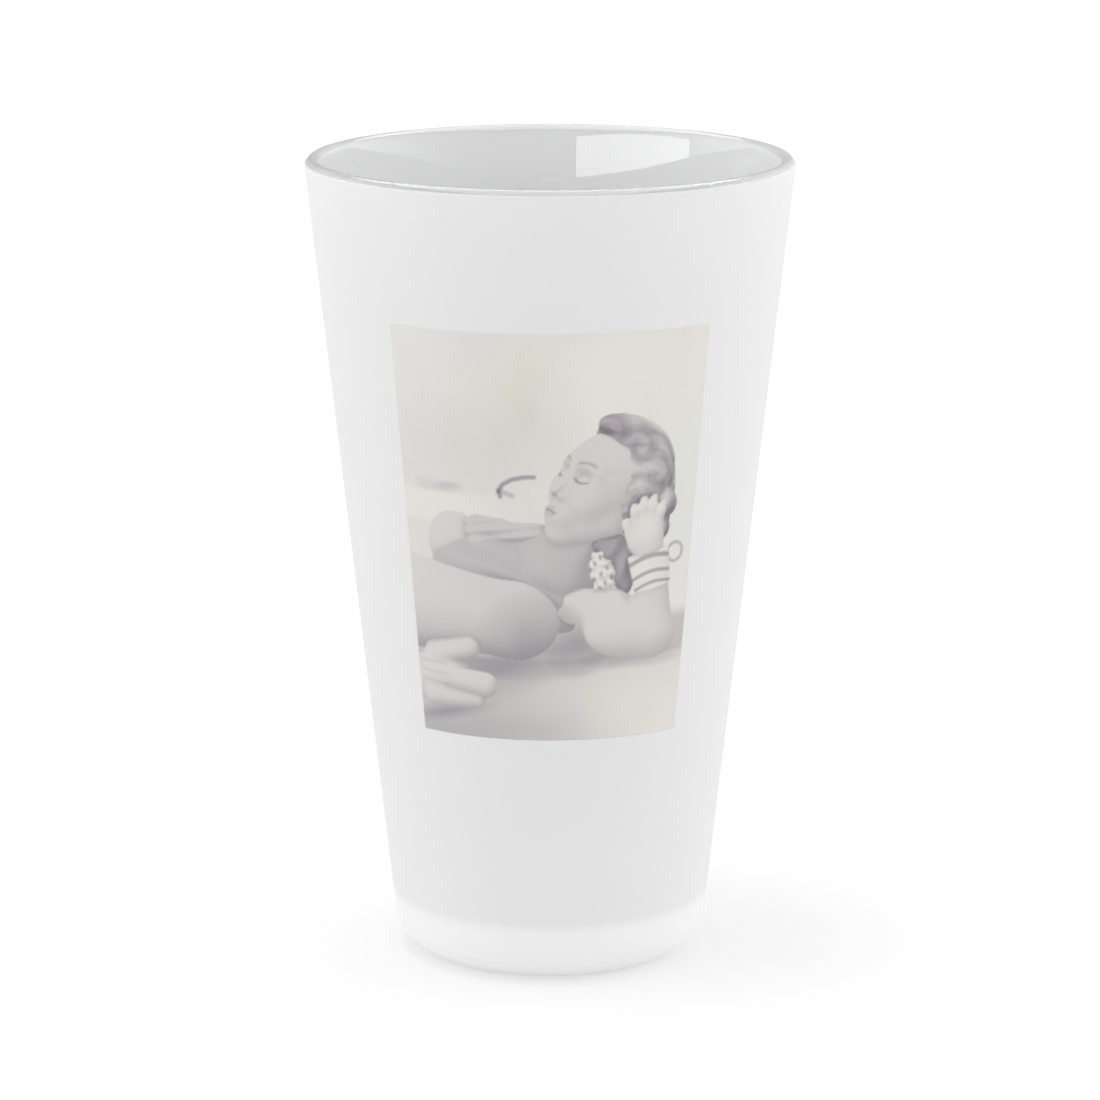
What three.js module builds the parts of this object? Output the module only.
// A straight-sided pint tumbler: one pressed glass body, a frosted coat sprayed over its outside,
// and a picture printed in a rectangle on the front of the coat.
// Millimetres, +Z up. The origin is the centre of the foot, on the surface that the glass stands on,
// and the picture faces -Y.
import * as THREE from "three";

// Driving dimensions of the glass body.
const HEIGHT = 148;
const RIM_RADIUS = 44.45; // outside wall line, at the height of the rim
const FOOT_LINE_RADIUS = 28.15; // outside wall line, carried down to the table
const HEEL_RADIUS = 7.4; // rounds the outside wall into the foot
const RIM_WALL = 2.8;
const FLOOR_WALL = 6; // wall thickness beside the floor
const FLOOR_HEIGHT = 7;
const FLOOR_CORNER_RADIUS = 7.5;
const FOOT_RING_WIDTH = 2.6;
const PUNT_DEPTH = 1.8; // the hollow under the foot

// Driving dimensions of the two skins on the outside wall.
const COAT_THICKNESS = 0.1;
const COAT_HEEL_START = 18; // degrees round the heel from the foot ring, which stays bare
const COAT_RIM_END = 20; // degrees up the rim's outer curve; the rest of the rim stays bare
const PRINT_GAP = 0.01;
const PRINT_THICKNESS = 0.06;
const PRINT_BOTTOM = 47.6;
const PRINT_TOP = 122.6;
const PRINT_HALF_ANGLE = 42; // degrees each side of the front

// Round surfaces are facets of 3 degrees, so the edges of the print fall on facet edges.
const FACETS = 120;
const FACET_ANGLE = 360 / FACETS;
const ARC_DIVISIONS = 3; // a Path gives twice as many chords to an arc
const SHORT_ARC_DIVISIONS = 1;

const DEGREE = Math.PI / 180;

// A wall line: radius as a function of height, with its lean from the vertical.
function wallLine(lowHeight, lowRadius, highHeight, highRadius) {
  const slope = (highRadius - lowRadius) / (highHeight - lowHeight);
  return {
    lean: Math.atan(slope),
    slope,
    at: (z) => lowRadius + (z - lowHeight) * slope,
  };
}

// Centre of an arc of the given radius that touches a wall line and a level floor, inside both.
function cornerCentre(wall, floorHeight, radius) {
  const height = floorHeight + radius;
  return new THREE.Vector2(
    wall.at(height) - radius * Math.hypot(1, wall.slope),
    height,
  );
}

const outerWall = wallLine(0, FOOT_LINE_RADIUS, HEIGHT, RIM_RADIUS);
const rimCentreHeight = HEIGHT - RIM_WALL / 2;
const rimCentre = new THREE.Vector2(
  outerWall.at(rimCentreHeight) - RIM_WALL / 2,
  rimCentreHeight,
);
const innerWall = wallLine(
  FLOOR_HEIGHT,
  outerWall.at(FLOOR_HEIGHT) - FLOOR_WALL,
  rimCentreHeight,
  outerWall.at(rimCentreHeight) - RIM_WALL,
);
const heelCentre = cornerCentre(outerWall, 0, HEEL_RADIUS);
const floorCorner = cornerCentre(innerWall, FLOOR_HEIGHT, FLOOR_CORNER_RADIUS);
const coatHeelAngle = COAT_HEEL_START * DEGREE - Math.PI / 2;
const coatRimAngle = COAT_RIM_END * DEGREE;

// Points along an arc from one angle to another, either way round.
function arcPoints(centre, radius, start, end, divisions = ARC_DIVISIONS) {
  const path = new THREE.Path();
  path.absarc(centre.x, centre.y, radius, start, end, start > end);
  return path.getPoints(divisions);
}

// Turns a closed half-outline (radius, height) about the glass's axis, and stands it on +Z.
function turned(outline) {
  const geometry = new THREE.LatheGeometry(outline, FACETS);
  return geometry.rotateX(Math.PI / 2);
}

function piece(name, geometry, material) {
  const mesh = new THREE.Mesh(geometry, material);
  mesh.name = name;
  return mesh;
}

// The coated stretch of the outside, at a distance off the glass: most of the heel, the straight
// wall, and the start of the rim's curve.
function coatedStretch(offset) {
  const radius = HEEL_RADIUS + offset;
  const rimRadius = RIM_WALL / 2 + offset;
  const wallAngle = -outerWall.lean;
  return [
    ...arcPoints(heelCentre, radius, coatHeelAngle, wallAngle),
    ...arcPoints(rimCentre, rimRadius, wallAngle, coatRimAngle, SHORT_ARC_DIVISIONS),
  ];
}

// The pressed body, from the middle of the punt out round the foot, up the outside, over the
// fire-polished rim, down the inside and across the floor.
function glassOutline() {
  const down = -Math.PI / 2;
  const footInner = heelCentre.x - FOOT_RING_WIDTH;
  const puntRadius = (footInner ** 2 + PUNT_DEPTH ** 2) / (2 * PUNT_DEPTH);
  const puntCentre = new THREE.Vector2(0, PUNT_DEPTH - puntRadius);
  const puntEdgeAngle = Math.asin(-puntCentre.y / puntRadius);
  return distinct([
    ...arcPoints(puntCentre, puntRadius, Math.PI / 2, puntEdgeAngle),
    ...arcPoints(heelCentre, HEEL_RADIUS, down, coatHeelAngle, SHORT_ARC_DIVISIONS),
    ...coatedStretch(0),
    ...arcPoints(rimCentre, RIM_WALL / 2, coatRimAngle, Math.PI - innerWall.lean),
    ...arcPoints(floorCorner, FLOOR_CORNER_RADIUS, -innerWall.lean, down),
    new THREE.Vector2(0, FLOOR_HEIGHT),
  ]);
}

// Drops a point that repeats the one before it, where one stretch of an outline meets the next.
function distinct(points) {
  return points.filter(
    (p, i) => i === 0 || p.distanceTo(points[i - 1]) > 1e-6,
  );
}

// The coat is a thin ring whose inner face is the glass's own outside face.
function coatOutline() {
  const outer = coatedStretch(COAT_THICKNESS);
  const inner = coatedStretch(0);
  return [...outer, ...inner.reverse(), outer[0]];
}

// The print is an arc-shaped strip that is extruded upwards and then widened to follow the taper.
function printGeometry() {
  const coatOffset = COAT_THICKNESS / Math.cos(outerWall.lean);
  const inside = (z) => outerWall.at(z) + coatOffset + PRINT_GAP;
  const baseRadius = inside(PRINT_BOTTOM);
  const steps = Math.round((2 * PRINT_HALF_ANGLE) / FACET_ANGLE);
  const along = (radius, step) => {
    const angle = (step * FACET_ANGLE - PRINT_HALF_ANGLE - 90) * DEGREE;
    return new THREE.Vector2(
      radius * Math.cos(angle),
      radius * Math.sin(angle),
    );
  };
  const every = Array.from({ length: steps + 1 }, (_, i) => i);
  const outline = [
    ...every.map((i) => along(baseRadius + PRINT_THICKNESS, i)),
    ...every.reverse().map((i) => along(baseRadius, i)),
  ];
  const geometry = new THREE.ExtrudeGeometry(new THREE.Shape(outline), {
    depth: PRINT_TOP - PRINT_BOTTOM,
    bevelEnabled: false,
  });
  geometry.translate(0, 0, PRINT_BOTTOM);
  const position = geometry.getAttribute("position");
  for (let i = 0; i < position.count; i++) {
    const widen = inside(position.getZ(i)) / baseRadius;
    position.setXY(i, position.getX(i) * widen, position.getY(i) * widen);
  }
  return geometry;
}

const clearGlass = new THREE.MeshStandardMaterial({
  color: 0xe9efee,
  roughness: 0.03,
  metalness: 0,
  transparent: true,
  opacity: 0.35,
});
const frost = new THREE.MeshStandardMaterial({
  color: 0xececec,
  roughness: 0.6,
  metalness: 0,
  transparent: true,
  opacity: 0.7,
});
const print = new THREE.MeshStandardMaterial({
  color: 0xd8d4cf,
  roughness: 0.5,
  metalness: 0,
});

const pintGlass = new THREE.Group();
pintGlass.add(piece("glass_tumbler", turned(glassOutline()), clearGlass));
pintGlass.add(piece("frosted_coat", turned(coatOutline()), frost));
pintGlass.add(piece("printed_picture", printGeometry(), print));

export default pintGlass;
